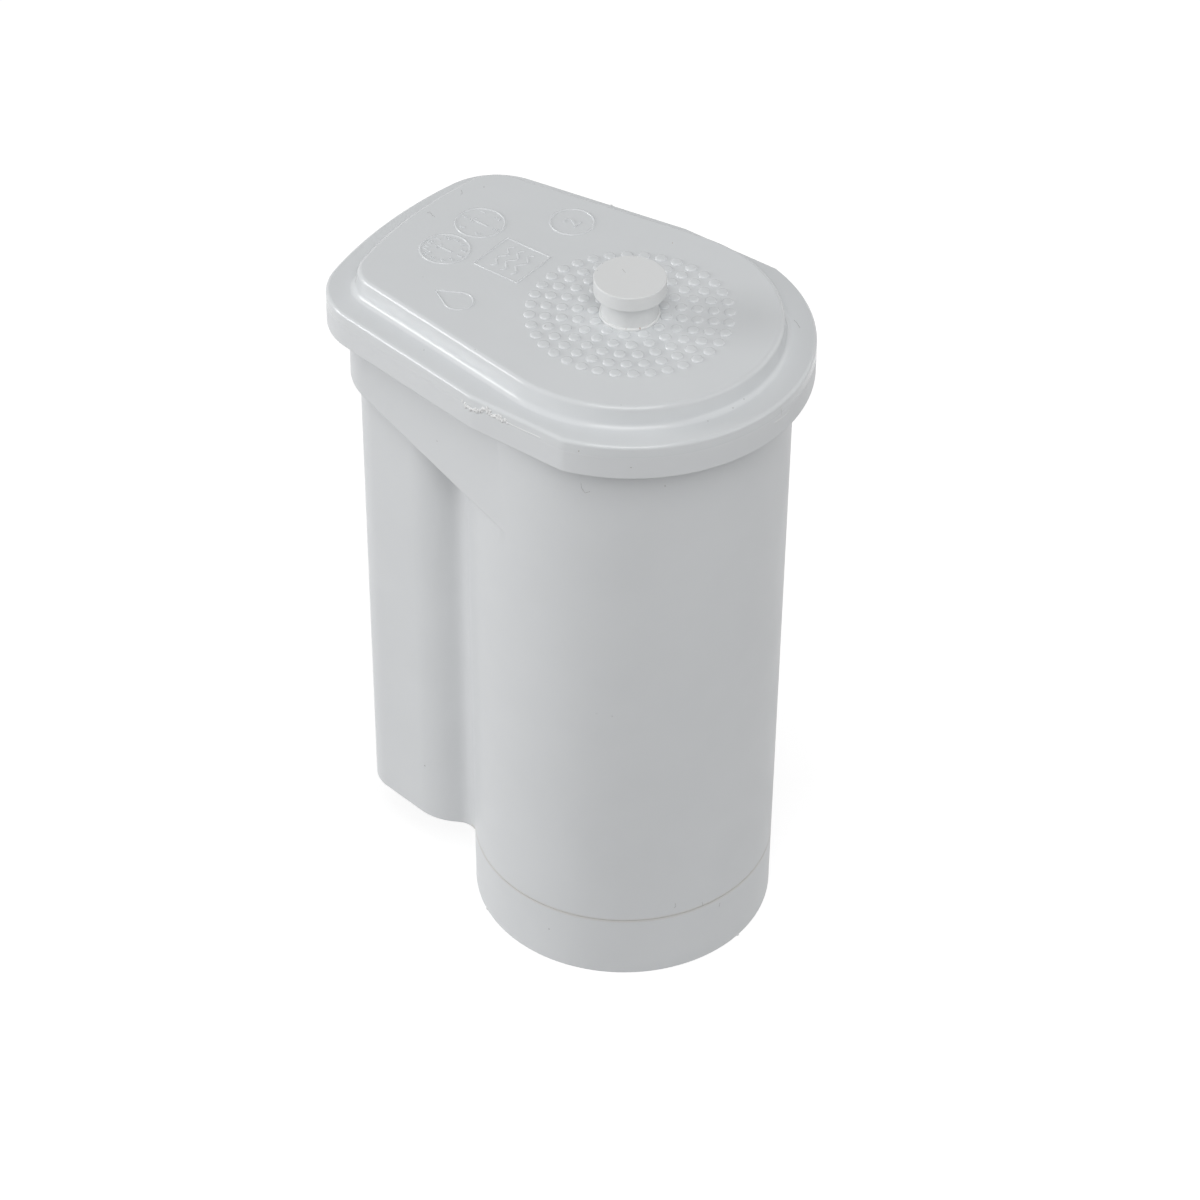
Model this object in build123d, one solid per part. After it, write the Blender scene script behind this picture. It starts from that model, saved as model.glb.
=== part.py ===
from build123d import *
from math import cos, hypot, pi, radians, sin, tan
import os

# Tank cartridge for a coffee machine: a resin bed in an upright cylinder, with a
# return channel beside it. All sizes are in millimetres.
# Frame: the cylinder stands on Z with its bottom at 0, and the channel lies towards -X.

# Heights above the bottom face
channel_bottom = 13.0
cap_height = 13.7
rim_bottom = 122.8
rim_height = 7.05
lid_rim_height = 2.35
deck_rise = 4.1

# Cylinder
bottom_radius = 28.3
body_draft = 0.55
wall = 1.8

# Plan of the rim: a circle on the axis, two tapering sides and a flatter far end
rim_radius = 33.2
rim_flat_width = 63.8
far_reach = 55.45
far_arc_radius = 84.0
side_taper = 8.66
far_corner_radius = 12.7

# Raised deck, set in from the rim's plan
deck_inset = 5.9
deck_foot_flare = 0.7
deck_edge_round = 0.9
rim_edge_round = 0.6

# Neck under the rim, with a floor that rises away from the cylinder
neck_floor_at_axis = 97.85
neck_floor_angle = 15.2

# Return channel, set in from the neck's plan where it ends at the bottom
channel_side_inset = 3.35
channel_end_inset = 1.95
channel_shoulder_x = -29.1
channel_waist_angle = 28.7
channel_shoulder_round = 10.8
valley_round = 3.7
channel_floor = 2.0

# Outlet socket in the channel's floor
outlet_x = -39.0
seal_outer_radius = 7.0
seal_inner_radius = 5.0
seal_height = 5.5
seal_lip = 0.5
socket_wall = 1.8
passage_radius = 5.6
passage_length = 6.0

# Inlet cap
cap_recess = 2.0
cap_floor = 1.8
foot_ring_width = 2.6
slot_width = 1.2
slot_rings = ((12, 5.0, 13.0), (24, 15.5, 24.0))
weld_groove = 0.25
cap_clearance = 0.1

# Tongue and groove of the two weld joints
tongue_width = 0.7
tongue_height = 1.0
tongue_clearance = 0.05

# Lid
deck_wall = 2.0
dome_radius = 1.0
dome_crown_radius = 0.55
dome_height = 0.45
dome_sides = 8
dome_rings = 5
domes_per_ring_step = 6
dome_start_angle = 88.6
outer_dome_ring_radius = 17.7
dome_clearance = 0.05

# Pull knob
knob_head_radius = 6.5
knob_head_height = 2.95
knob_gap = 5.0
knob_stem_radius = 5.1
knob_collar_radius = 5.45
knob_collar_height = 0.5
knob_shank_radius = 4.0
knob_fit = 0.05
knob_barb_radius = 4.5
knob_barb_lead = 1.0
knob_barb_height = 1.6
knob_edge_round = 0.25
boss_wall = 1.8
boss_length = 8.0

# Packing of the cylinder
weir_height = 112.0
fleece_thickness = 1.5
grid_thickness = 2.4
grid_below_weir = 2.0
grid_slot_rings = ((12, 5.0, 13.0), (24, 15.5, 23.5))
snap_bead = 0.5
snap_bead_height = 1.0
packing_clearance = 0.2
seat_gap = 0.1
same_place = 0.01

# Worked-out levels
rim_top = rim_bottom + rim_height
weld_level = rim_top - lid_rim_height
deck_top = rim_top + deck_rise
grid_top = weir_height - grid_below_weir
grid_bottom = grid_top - grid_thickness
upper_fleece_bottom = grid_bottom - fleece_thickness
cap_floor_top = cap_recess + cap_floor
bed_bottom = cap_floor_top + fleece_thickness
inner_dome_ring_radius = knob_collar_radius + dome_radius + dome_clearance
dome_ring_pitch = (outer_dome_ring_radius - inner_dome_ring_radius) / (dome_rings - 1)
reach = 2 * far_reach


def body_radius(level):
    """Outer radius of the drafted cylinder at a height."""
    return bottom_radius + level * tan(radians(body_draft))


def bore_radius(level):
    """Inner radius of the drafted cylinder at a height."""
    return body_radius(level) - wall


def drafted_plug(low, high, offset):
    """Solid that follows the cylinder's draft, set in from its outer face."""
    plug = Cone(
        body_radius(low) - offset,
        body_radius(high) - offset,
        high - low,
        align=(Align.CENTER, Align.CENTER, Align.MIN),
    )
    return Pos(0, 0, low) * plug


def disc(radius, low, high, x=0.0):
    """Plain upright cylinder between two heights."""
    plain = Cylinder(radius, high - low, align=(Align.CENTER, Align.CENTER, Align.MIN))
    return Pos(x, 0, low) * plain


def prism(face, low, high):
    """Upright prism of a plan between two heights."""
    return extrude(Pos(0, 0, low) * face, high - low)


def egg_plan(inset, end_inset=None):
    """Plan of circle, tangent sides and far arc, set in from the rim's plan."""
    if end_inset is None:
        end_inset = inset
    taper = radians(side_taper)
    big = rim_radius - inset
    touch_x = -big * sin(taper)
    touch_y = big * cos(taper)
    end_y = touch_y - (reach + touch_x) * tan(taper)
    wedge = make_face(
        Polyline(
            (touch_x, touch_y),
            (-reach, end_y),
            (-reach, -end_y),
            (touch_x, -touch_y),
            close=True,
        )
    )
    end_disc = Pos(far_arc_radius - far_reach, 0) * Circle(far_arc_radius - end_inset)
    tongue = wedge & end_disc
    corners = tongue.vertices().sort_by(Axis.X)[:2]
    return fillet(corners, far_corner_radius - end_inset) + Circle(big)


def rim_plan():
    """Plan of the rim: the egg with its two sides cut flat."""
    return egg_plan(0.0) & Rectangle(reach, rim_flat_width)


def neck_inset(depth=0.0):
    """Inset that makes the neck's sides run out of the cylinder where its floor meets it."""
    return rim_radius - body_radius(neck_floor_at_axis) + depth


def above_neck_floor(lift=0.0):
    """Block that fills everything above the sloping neck floor on the channel's side."""
    slope = radians(neck_floor_angle)
    start = neck_floor_at_axis + lift / cos(slope)
    ceiling = start + 2 * reach
    profile = make_face(
        Polyline(
            (0, start),
            (-reach, start + reach * tan(slope)),
            (-reach, ceiling),
            (0, ceiling),
            close=True,
        )
    )
    return extrude(Plane.XZ * profile, reach, both=True)


def neck_block(depth, top):
    """Neck volume under the rim, set in by a depth from its outer face."""
    return prism(egg_plan(neck_inset(depth)), channel_bottom, top) & above_neck_floor(depth)


def channel_plan(level, depth=0.0):
    """Plan of the channel at a height, with its two waists towards the cylinder."""
    inward = depth - (level - channel_bottom) * tan(radians(body_draft))
    side = neck_inset(channel_side_inset + inward)
    end = neck_inset(channel_end_inset + inward)
    taper = radians(side_taper)
    shoulder_y = (rim_radius - side + channel_shoulder_x * sin(taper)) / cos(taper)
    fall = tan(radians(channel_waist_angle))
    tip_x = channel_shoulder_x + shoulder_y / fall
    back_y = fall * (tip_x + reach)
    waist = make_face(Polyline((tip_x, 0), (-reach, back_y), (-reach, -back_y), close=True))
    half_plane = Pos(-reach / 2, 0) * Rectangle(reach, 2 * reach)
    plan = egg_plan(side, end) & waist & half_plane
    shoulders = [
        corner for corner in plan.vertices()
        if abs(corner.X - channel_shoulder_x) < same_place
    ]
    return fillet(shoulders, channel_shoulder_round - inward)


def channel_block(low, high, depth=0.0):
    """Drafted channel volume between two heights."""
    foot = Pos(0, 0, low) * channel_plan(low, depth)
    head = Pos(0, 0, high) * channel_plan(high, depth)
    return loft([foot.face(), head.face()], ruled=True)


def lid_tongue(low, high, spare=0.0):
    """Ring in the middle of the neck's wall, used as the lid's tongue and as its groove."""
    middle = neck_inset(wall / 2)
    half = tongue_width / 2 + spare
    return prism(egg_plan(middle - half) - egg_plan(middle + half), low, high)


def cap_tongue(low, high, spare=0.0):
    """Ring in the middle of the cylinder's wall, used as the cap's tongue and as its groove."""
    middle = body_radius(cap_height) - wall / 2
    half = tongue_width / 2 + spare
    return disc(middle + half, low, high) - disc(middle - half, low, high)


def slot_cuts(rings, low, high):
    """Radial slots, as (count, inner radius, outer radius) for each ring."""
    cuts = []
    for count, start, stop in rings:
        slot = Box(stop - start, slot_width, high - low)
        placed = Pos((start + stop) / 2, 0, (low + high) / 2) * slot
        cuts += [Rot(0, 0, turn * 360 / count) * placed for turn in range(count)]
    return cuts


def valley_edges(body):
    """The two concave lines where the channel's waists meet the cylinder."""
    lines = []
    for edge in body.edges():
        ends = (edge @ 0, edge @ 1)
        on_cylinder = all(
            abs(hypot(end.X, end.Y) - body_radius(end.Z)) < same_place
            for end in ends
        )
        long_upright = abs(ends[1].Z - ends[0].Z) > 2 * channel_bottom
        off_middle = abs(ends[0].Y) > wall
        if on_cylinder and long_upright and off_middle:
            lines.append(edge)
    return lines


def make_trunk():
    """Cylinder and channel in one, with rounded valleys between them."""
    channel_top = neck_floor_at_axis + far_reach * tan(radians(neck_floor_angle))
    trunk = drafted_plug(channel_bottom, rim_bottom, 0.0)
    trunk += channel_block(channel_bottom, channel_top)
    return fillet(valley_edges(trunk), valley_round)


def make_hollow():
    """Free space of neck and channel, outside the cylinder's own wall."""
    channel_top = neck_floor_at_axis + far_reach * tan(radians(neck_floor_angle))
    hall = neck_block(wall, weld_level)
    shaft = channel_block(channel_bottom + channel_floor, channel_top, wall)
    return hall + shaft - drafted_plug(channel_bottom, weir_height, 0.0)


def add_outlet_socket(shell):
    """Socket for the tank's spigot in the channel's floor, with a seat for its seal."""
    seat_top = channel_bottom + seal_height + 2 * seat_gap
    socket_top = seat_top + passage_length
    shell += disc(seal_outer_radius + socket_wall, channel_bottom, socket_top, outlet_x)
    shell -= disc(passage_radius, channel_bottom, socket_top, outlet_x)
    return shell - disc(seal_outer_radius, channel_bottom, seat_top, outlet_x)


def make_housing():
    """Moulded shell: cylinder, return channel, neck and rim flange in one piece."""
    shell = make_trunk() + neck_block(0.0, rim_bottom)
    shell += prism(rim_plan(), rim_bottom, weld_level)
    shell -= make_hollow()
    shell -= drafted_plug(channel_bottom, weld_level, wall)
    shell -= disc(body_radius(cap_height) + cap_clearance, channel_bottom, cap_height)
    shell = add_outlet_socket(shell)
    shell += snap_bead_ring()
    groove_depth = tongue_height + tongue_clearance
    shell -= lid_tongue(weld_level - groove_depth, weld_level, tongue_clearance)
    return shell - cap_tongue(cap_height, cap_height + groove_depth, tongue_clearance)


def snap_bead_ring():
    """Bead inside the cylinder that holds the retaining grid down."""
    low = grid_top + seat_gap
    high = low + snap_bead_height
    root = bore_radius(low) + snap_bead
    tip = bore_radius(low) - snap_bead
    profile = make_face(
        Polyline((root, low), (tip, (low + high) / 2), (root, high), close=True)
    )
    return revolve(Plane.XZ * profile, Axis.Z)


def dome_places():
    """Centres of the grip domes, on rings round the knob."""
    places = []
    for ring in range(dome_rings):
        radius = inner_dome_ring_radius + ring * dome_ring_pitch
        count = domes_per_ring_step * (ring + 2)
        for step in range(count):
            turn = radians(dome_start_angle) + 2 * pi * step / count
            places.append((radius * cos(turn), radius * sin(turn)))
    return places


def make_dome():
    """Shallow grip dome that stands on the deck, with flat facets all round."""
    foot = RegularPolygon(dome_radius, dome_sides)
    crown = Pos(0, 0, dome_height) * RegularPolygon(dome_crown_radius, dome_sides)
    return loft([foot.face(), crown.face()], ruled=True)


def make_lid():
    """Moulded lid: rim, raised deck with grip domes, tongue and knob boss."""
    plate = prism(rim_plan(), weld_level, rim_top)
    foot = Pos(0, 0, rim_top) * egg_plan(deck_inset - deck_foot_flare)
    crown = Pos(0, 0, deck_top) * egg_plan(deck_inset)
    deck = loft([foot.face(), crown.face()])
    top_edges = deck.faces().sort_by(Axis.Z)[-1].edges()
    deck = fillet(top_edges, deck_edge_round)
    edge_ring = plate.faces().sort_by(Axis.Z)[-1].edges()
    plate = fillet(edge_ring, rim_edge_round)
    lid = plate + deck
    pocket = prism(egg_plan(neck_inset(wall) + deck_wall), weld_level, deck_top - deck_wall)
    lid -= pocket
    lid += disc(knob_shank_radius + knob_fit + boss_wall, deck_top - deck_wall - boss_length, deck_top)
    lid -= disc(knob_shank_radius + knob_fit, deck_top - deck_wall - boss_length, deck_top)
    lid += lid_tongue(weld_level - tongue_height, weld_level)
    dome = make_dome()
    domes = [Pos(x, y, deck_top) * dome for x, y in dome_places()]
    return lid + domes


def make_knob():
    """Mushroom knob with a collar on the deck and a barbed shank through the lid."""
    head_bottom = deck_top + knob_gap
    head = disc(knob_head_radius, head_bottom, head_bottom + knob_head_height)
    rims = head.edges().filter_by(GeomType.CIRCLE).sort_by(Axis.Z)
    head = fillet(rims[-1], knob_edge_round)
    rims = head.edges().filter_by(GeomType.CIRCLE).sort_by(Axis.Z)
    head = chamfer(rims[0], knob_edge_round)
    stem = disc(knob_stem_radius, deck_top, head_bottom)
    collar = disc(knob_collar_radius, deck_top, deck_top + knob_collar_height)
    shank_end = deck_top - deck_wall - boss_length - seat_gap
    shank = disc(knob_shank_radius, shank_end, deck_top)
    barb = Pos(0, 0, shank_end - knob_barb_height) * Cone(
        knob_barb_radius - knob_barb_lead,
        knob_barb_radius,
        knob_barb_height,
        align=(Align.CENTER, Align.CENTER, Align.MIN),
    )
    return head + stem + collar + shank + barb


def make_cap():
    """Inlet cap: a shallow cup with a slotted floor set up from its foot ring."""
    cap = drafted_plug(0.0, cap_height, 0.0)
    top_edge = cap.edges().filter_by(GeomType.CIRCLE).sort_by(Axis.Z)[-1]
    cap = chamfer(top_edge, weld_groove)
    cap -= drafted_plug(cap_floor_top, cap_height, wall)
    cap -= disc(bottom_radius - foot_ring_width, 0.0, cap_recess)
    cap -= slot_cuts(slot_rings, cap_recess, cap_floor_top)
    return cap + cap_tongue(cap_height, cap_height + tongue_height)


def make_fleece(low):
    """Felt disc across the cylinder."""
    return disc(bore_radius(low) - packing_clearance, low, low + fleece_thickness)


def make_bed():
    """Packed bed of resin beads, held as one body between the two fleeces."""
    return drafted_plug(bed_bottom, upper_fleece_bottom, wall + packing_clearance)


def make_grid():
    """Slotted plate that holds the upper fleece down."""
    plate = disc(bore_radius(grid_bottom) - packing_clearance, grid_bottom, grid_top)
    return plate - slot_cuts(grid_slot_rings, grid_bottom, grid_top)


def make_outlet_seal():
    """Rubber ring in the channel's socket, with a lip round its mouth."""
    low = channel_bottom + seat_gap
    high = low + seal_height
    profile = make_face(
        Polyline(
            (seal_inner_radius, low + seal_lip),
            (seal_inner_radius + seal_lip, low),
            (seal_outer_radius, low),
            (seal_outer_radius, high),
            (seal_inner_radius, high),
            close=True,
        )
    )
    return Pos(outlet_x, 0, 0) * revolve(Plane.XZ * profile, Axis.Z)


def main():
    os.makedirs("parts", exist_ok=True)
    nodes = {
        "housing": make_housing(),
        "lid": make_lid(),
        "pull_knob": make_knob(),
        "inlet_cap": make_cap(),
        "lower_fleece": make_fleece(cap_floor_top),
        "resin_bed": make_bed(),
        "upper_fleece": make_fleece(upper_fleece_bottom),
        "retaining_grid": make_grid(),
        "outlet_seal": make_outlet_seal(),
    }
    for name, solid in nodes.items():
        export_step(solid, os.path.join("parts", name + ".step"))


main()
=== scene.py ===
"""Tank water filter cartridge: finished surfaces around its packed construction.

Lengths are in metres. Z is up, the cylinder's axis stands on the origin and the
return channel lies towards -X.
"""

from math import acos, asin, atan2, cos, hypot, pi, radians, sin, sqrt, tan
import random

import bmesh
import bpy
from mathutils import Matrix, Vector
from mathutils.bvhtree import BVHTree


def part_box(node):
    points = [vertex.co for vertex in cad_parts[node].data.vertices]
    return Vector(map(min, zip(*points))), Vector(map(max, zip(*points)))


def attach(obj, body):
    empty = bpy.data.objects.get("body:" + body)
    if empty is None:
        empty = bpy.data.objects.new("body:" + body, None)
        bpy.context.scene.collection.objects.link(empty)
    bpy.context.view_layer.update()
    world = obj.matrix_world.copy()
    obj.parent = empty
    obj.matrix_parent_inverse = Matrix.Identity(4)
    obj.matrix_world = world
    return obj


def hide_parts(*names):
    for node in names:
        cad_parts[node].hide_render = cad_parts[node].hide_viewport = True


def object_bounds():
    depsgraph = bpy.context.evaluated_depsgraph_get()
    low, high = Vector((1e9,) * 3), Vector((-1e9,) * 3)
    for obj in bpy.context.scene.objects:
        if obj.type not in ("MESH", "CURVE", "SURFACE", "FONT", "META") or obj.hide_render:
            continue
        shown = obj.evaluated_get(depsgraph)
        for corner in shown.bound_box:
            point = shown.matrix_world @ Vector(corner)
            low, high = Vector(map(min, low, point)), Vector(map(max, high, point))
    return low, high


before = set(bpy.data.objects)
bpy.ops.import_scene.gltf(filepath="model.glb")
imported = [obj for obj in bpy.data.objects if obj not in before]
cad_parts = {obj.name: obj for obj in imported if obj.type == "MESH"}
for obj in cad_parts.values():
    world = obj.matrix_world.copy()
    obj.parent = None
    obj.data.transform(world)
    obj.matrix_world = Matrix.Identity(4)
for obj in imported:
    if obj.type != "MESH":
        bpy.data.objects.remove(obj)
cad_low, cad_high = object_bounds()

# Levels and reaches of the construction
HOUSING_LOW, HOUSING_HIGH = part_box("housing")
LID_LOW, LID_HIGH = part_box("lid")
KNOB_LOW, KNOB_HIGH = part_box("pull_knob")
CAP_LOW, CAP_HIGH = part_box("inlet_cap")
SEAL_LOW, SEAL_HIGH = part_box("outlet_seal")
CHANNEL_BOTTOM = HOUSING_LOW.z
TONGUE_HEIGHT = 0.001
SEAM_LEVEL = CAP_HIGH.z - TONGUE_HEIGHT
WELD_LEVEL = HOUSING_HIGH.z
RIM_RADIUS = HOUSING_HIGH.x
RIM_HALF_WIDTH = HOUSING_HIGH.y
FAR_REACH = -HOUSING_LOW.x
OUTLET_X = (SEAL_LOW.x + SEAL_HIGH.x) / 2
SOCKET_RADIUS = (SEAL_HIGH.x - SEAL_LOW.x) / 2
KNOB_RADIUS = KNOB_HIGH.x
KNOB_TOP = KNOB_HIGH.z

# Plan of rim, deck, neck and channel
FAR_ARC_RADIUS = 0.084
SIDE_TAPER = radians(8.66)
FAR_CORNER_RADIUS = 0.0127
DECK_INSET = 0.0059
DECK_FLARE = 0.0007
CHANNEL_SIDE_INSET = 0.00335
CHANNEL_END_INSET = 0.00195
CHANNEL_SHOULDER_X = -0.0291
CHANNEL_WAIST_ANGLE = radians(28.7)
CHANNEL_SHOULDER_ROUND = 0.0108
VALLEY_ROUND = 0.0037

# Cylinder, neck and heights
BOTTOM_RADIUS = 0.0283
BODY_DRAFT = radians(0.55)
WALL = 0.0018
NECK_FLOOR = 0.09785
NECK_SLOPE = radians(15.2)
WEIR_LEVEL = 0.112
RIM_BOTTOM = 0.1228
LID_RIM_HEIGHT = 0.00235
DECK_RISE = 0.0041
RIM_TOP = WELD_LEVEL + LID_RIM_HEIGHT
DECK_TOP = RIM_TOP + DECK_RISE

# Edge rounds of the mouldings
DECK_EDGE_ROUND = 0.0009
DECK_FOOT_ROUND = 0.0011
RIM_EDGE_ROUND = 0.0007
SKIRT_EDGE_ROUND = 0.0003
NECK_EDGE_ROUND = 0.0005
FOOT_EDGE_ROUND = 0.0004
ROUND_STEPS = 5

# Grip domes
DOME_HEIGHT = 0.00032
DOME_RADIUS = 0.00108
DOME_CROWN_RADIUS = 0.00055
DOME_SUNK = 0.0002
DOME_RINGS = 5
DOMES_PER_RING_STEP = 6
DOME_START = radians(88.6)
INNER_DOME_RING = 0.0065
OUTER_DOME_RING = 0.0177

# Pull knob
KNOB_HEAD_HEIGHT = 0.00295
KNOB_STEM_RADIUS = 0.0051
KNOB_COLLAR_RADIUS = 0.00545
KNOB_COLLAR_HEIGHT = 0.0005
KNOB_SHANK_RADIUS = 0.004
KNOB_BORE_RADIUS = 0.00405
KNOB_EDGE_ROUND = 0.00022

# Inlet cap and outlet socket
CAP_RECESS = 0.002
CAP_FLOOR_TOP = 0.0038
FOOT_RING_WIDTH = 0.0026
SLOT_WIDTH = 0.0012
SLOT_RINGS = ((12, 0.005, 0.013), (24, 0.0155, 0.024))
SEAM_GROOVE = 0.00015
SEAM_GAP = 0.00004
# Darker band round the seam between cylinder and cap: painted shade of the seam's groove, with a
# slightly brown weld tone
SEAM_SHADE_AND_WELD_TONE = (0.66, 0.655, 0.64)
SEAM_SHADE_AND_TONE_REACH = 0.0007
CAP_CLEARANCE = 0.0001
SOCKET_DEPTH = 0.0057
PASSAGE_RADIUS = 0.0056
PASSAGE_DEPTH = 0.0117

# Raised marks on the deck: height and width of a line, places and sizes of the motifs
LINE_RADIUS = 0.00022
LINE_SINK = 0.00005
FRAME_CENTRE = (-0.0263, 0.0)
FRAME_HALF = 0.0049
DIAL_CENTRES = ((-0.0380, -0.0046), (-0.0380, 0.0056))
DIAL_RADIUS = 0.0045
DIAL_NUMBERS = (12, 6)
NUMBER_SIZE = 0.0015
RING_CENTRE = (-0.0250, 0.0160)
RING_RADIUS = 0.0040
DROP_CENTRE = (-0.0262, -0.0155)
DROP_RADIUS = 0.0026
DROP_TIP = 0.0052

# Weld flash on the skirt, as runs of picture points of the photograph
CRUMB_RUN = ((463, 401), (470, 408), (478, 411), (487, 409), (491, 414), (498, 417), (508, 423))
CRUMB_COUNT = 80
CRUMB_RADIUS = 0.00017
FINE_RUNS = (
    ((508, 423), (523, 430), (540, 437.5)),
    ((774, 423), (783, 417), (790, 410)),
    ((780, 405), (781.5, 410), (782, 415)),
)
FINE_RADIUS = 0.00006

# Dust on the surface, as picture points of the photograph
GREY_SPECKS = (
    (424, 350), (475, 349.5), (437, 441), (579, 451), (631, 467.5), (665, 486), (423, 277),
    (484, 187), (621, 405), (733, 408), (708, 421), (549, 929), (424.8, 765.7), (596.6, 713.6),
    (612.3, 716.2), (744, 399), (602.6, 263.7), (597.4, 270.3), (716.7, 329.5), (545, 326),
)
BROWN_SPECKS = ((672.5, 243), (487, 411.5), (500.5, 420), (626, 329), (640, 328.5), (578.5, 451.3))
SPECK_RADIUS = 0.00008
HAIRS = (
    ((581, 483), (581.5, 488), (585, 493), (590, 491.5)),
    ((794, 320), (797, 323), (800, 328)),
    ((461, 190), (462.5, 193), (460.5, 195)),
    ((427, 213), (430, 212), (432, 215), (435, 217)),
    ((675, 903), (676, 906), (674, 908)),
    ((702, 902), (703, 906)),
    ((720, 903), (719, 907)),
    ((622.4, 269.1), (625.5, 272.7)),
)
HAIR_RADIUS = 0.00003
EDGE_BURRS = ((487, 908), (738, 936), (612, 203.5))
BURR_RADIUS = 0.00030
OUTLINE_STEPS = 200

# Camera of the photograph
CAMERA_PLACE = Vector((0.4139, -0.5611, 0.6455))
CAMERA_HEADING = radians(36.81)
CAMERA_PITCH = radians(39.62)
CAMERA_ROLL = radians(0.50)
CAMERA_LENS = 146.81
CAMERA_SENSOR = 36.0
PHOTO_SIDE = 1200


# Studio floor: half its side, tone in the object's light, and how its shadow and glow are seen
FLOOR_HALF = 12.0
FLOOR_TONE = 0.50
FLOOR_SHADE = 0.35
FLOOR_GLOW = 0.80

# Studio light: level of the surroundings, and soft boxes as (name, place, side, power)
WORLD_LEVEL = 0.23
LAMPS = (
    ("key", (-1.10, -0.75, 0.45), 0.6, 8.7),
    ("overhead", (0.45, -0.60, 1.20), 0.9, 8.6),
    ("right", (1.20, 0.20, 0.50), 0.9, 1.9),
    ("behind", (0.60, 1.10, 0.60), 0.9, 1.8),
    ("front", (0.75, -1.00, 0.60), 0.9, 0.6),
)


def body_radius(level):
    """Outer radius of the drafted cylinder at a height."""
    return BOTTOM_RADIUS + level * tan(BODY_DRAFT)


NECK_INSET = RIM_RADIUS - body_radius(NECK_FLOOR)


def arc(centre, radius, start, stop, steps):
    """Points along an arc from one angle to another, without its last point."""
    angles = [start + (stop - start) * step / steps for step in range(steps)]
    return [(centre[0] + radius * cos(a), centre[1] + radius * sin(a)) for a in angles]


def line(start, stop, steps):
    """Points along a straight run, without its last point."""
    return [
        (
            start[0] + (stop[0] - start[0]) * step / steps,
            start[1] + (stop[1] - start[1]) * step / steps,
        )
        for step in range(steps)
    ]


def mirrored(half):
    """Whole outline from its half on the +Y side, which starts and ends on the X axis."""
    return half + [(x, -y) for x, y in reversed(half[1:-1])]


def far_end(side_radius, end_inset):
    """Corner and far arc of an egg outline, as (corner start, points up to the X axis)."""
    normal = (-sin(SIDE_TAPER), cos(SIDE_TAPER))
    along = (-cos(SIDE_TAPER), -sin(SIDE_TAPER))
    corner_radius = FAR_CORNER_RADIUS - end_inset
    end_radius = FAR_ARC_RADIUS - end_inset
    end_centre = (FAR_ARC_RADIUS - FAR_REACH, 0.0)
    offset = side_radius - corner_radius
    base = (offset * normal[0] - end_centre[0], offset * normal[1])
    half_b = base[0] * along[0] + base[1] * along[1]
    spare = base[0] ** 2 + base[1] ** 2 - (end_radius - corner_radius) ** 2
    run = -half_b + sqrt(half_b ** 2 - spare)
    corner = (offset * normal[0] + run * along[0], offset * normal[1] + run * along[1])
    start_angle = atan2(normal[1], normal[0])
    stop_angle = atan2(corner[1], corner[0] - end_centre[0])
    corner_start = (
        corner[0] + corner_radius * normal[0],
        corner[1] + corner_radius * normal[1],
    )
    points = arc(corner, corner_radius, start_angle, stop_angle, 20)
    points += arc(end_centre, end_radius, stop_angle, pi, 14)
    points.append((end_centre[0] - end_radius, 0.0))
    return corner_start, points


def egg_outline(inset, flat=False):
    """Outline of circle, tangent sides and far arc, with its two sides cut flat or not."""
    radius = RIM_RADIUS - inset
    half_width = RIM_HALF_WIDTH - inset
    split = asin(RIM_HALF_WIDTH / RIM_RADIUS)
    touch = pi / 2 + SIDE_TAPER
    corner_start, end = far_end(radius, inset)
    if flat:
        split = asin(half_width / radius)
        flat_end = ((half_width * cos(SIDE_TAPER) - radius) / sin(SIDE_TAPER), half_width)
        half = arc((0, 0), radius, 0, split, 60)
        half += line((radius * cos(split), half_width), flat_end, 20)
        half += line(flat_end, corner_start, 6)
    else:
        half = arc((0, 0), radius, 0, split, 60)
        half += arc((0, 0), radius, split, touch, 20)
        touch_point = (radius * cos(touch), radius * sin(touch))
        half += line(touch_point, corner_start, 6)
    return mirrored(half + end)


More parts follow.
